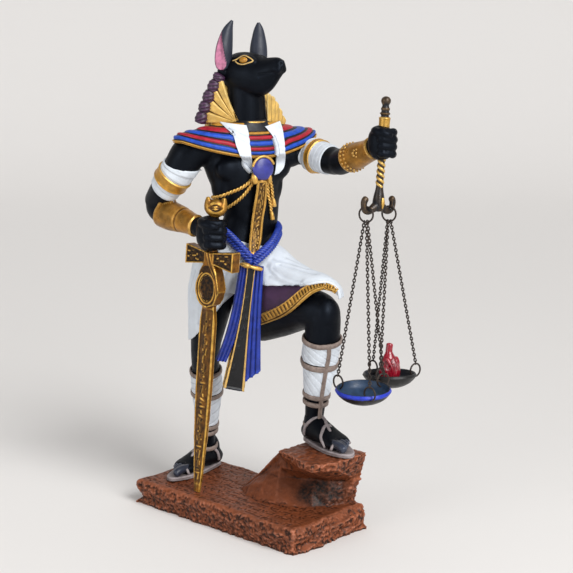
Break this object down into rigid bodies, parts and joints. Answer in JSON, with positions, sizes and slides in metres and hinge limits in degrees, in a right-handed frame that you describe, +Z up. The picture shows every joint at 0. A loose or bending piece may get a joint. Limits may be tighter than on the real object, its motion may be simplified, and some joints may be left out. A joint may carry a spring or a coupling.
{
  "type": "jackal-headed guardian figurine",
  "caption": "Standing jackal-headed figurine holding a sword and a pair of chain-hung scales, one foot on a rock on an oblong base.",
  "frame": {"origin": "middle of the base's underside", "axes": "+Z up; the figure faces -Y and +X is to the viewer's right; the base's long side is turned 43 degrees clockwise from +X, seen from above"},
  "size_m": [0.1664, 0.1286, 0.2807],
  "materials": {
    "rock": "cast resin painted as red-brown rock with a black wash",
    "painted_resin": "cast resin, satin black with painted cloth, collar and gold trim",
    "antique_gold": "cast resin painted antique gold over black",
    "dark_bronze": "cast resin painted black and worn gold",
    "black_wire": "blackened wire",
    "pan_black": "satin black, slate blue inside",
    "heart_red": "cast resin painted crimson"
  },
  "bodies": {
    "root": {"base": "rock", "figure": "painted_resin", "sword": "antique_gold", "scale_staff": "dark_bronze", "front_hanger_ring": "black_wire", "front_pan": "pan_black", "front_pan_ring_1": "black_wire", "front_chain_1": "black_wire", "front_pan_ring_2": "black_wire", "front_chain_2": "black_wire", "front_pan_ring_3": "black_wire", "front_chain_3": "black_wire", "rear_hanger_ring": "black_wire", "rear_pan": "pan_black", "rear_pan_ring_1": "black_wire", "rear_chain_1": "black_wire", "rear_pan_ring_2": "black_wire", "rear_chain_2": "black_wire", "rear_pan_ring_3": "black_wire", "rear_chain_3": "black_wire", "heart": "heart_red"}
  },
  "joints": []
}
